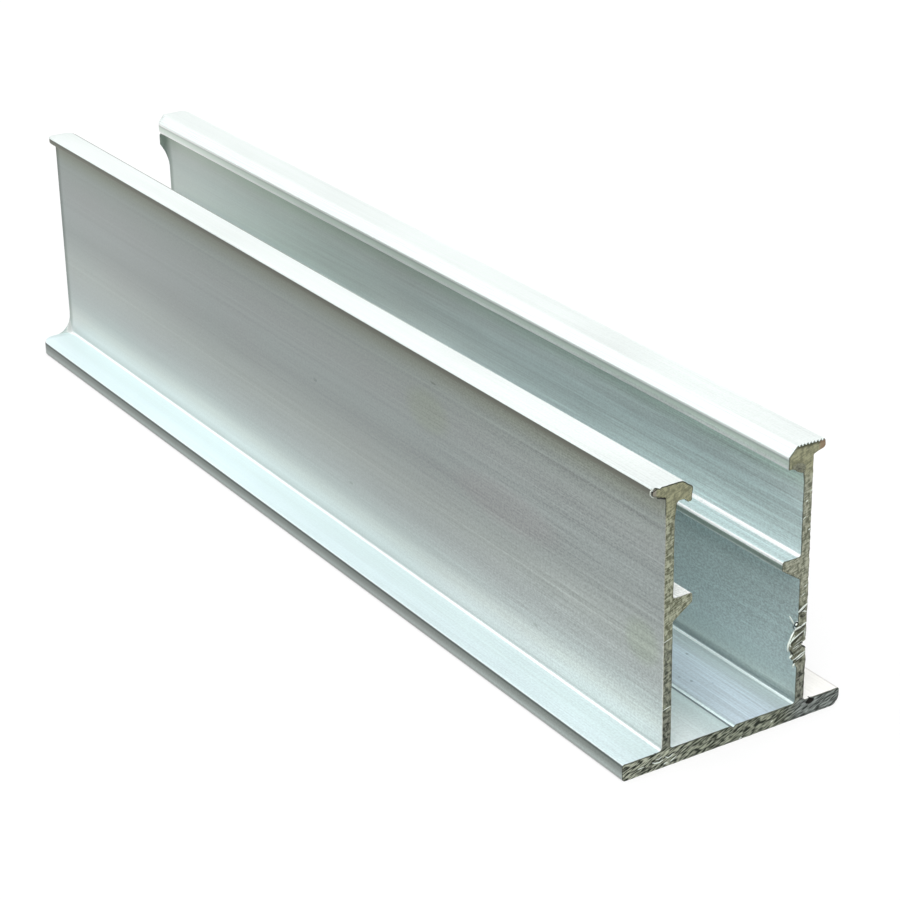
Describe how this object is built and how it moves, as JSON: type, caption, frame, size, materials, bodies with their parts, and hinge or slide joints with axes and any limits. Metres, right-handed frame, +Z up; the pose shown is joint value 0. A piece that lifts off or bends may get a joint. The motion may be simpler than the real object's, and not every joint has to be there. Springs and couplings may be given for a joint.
{
  "type": "aluminium mounting rail profile",
  "caption": "Short straight extruded mounting rail: flat flanged base, upright webs, open channel with inner ledges, hooked heads with outer lips.",
  "frame": {"origin": "middle of the underside, halfway along the length", "axes": "+Z up from the flat base, +Y along the length away from the pictured cut end, +X across"},
  "size_m": [0.04, 0.2, 0.0448],
  "materials": {
    "aluminium": "mill finish with fine lengthwise die lines, sawn ends"
  },
  "bodies": {
    "root": {"rail": "aluminium"}
  },
  "joints": []
}
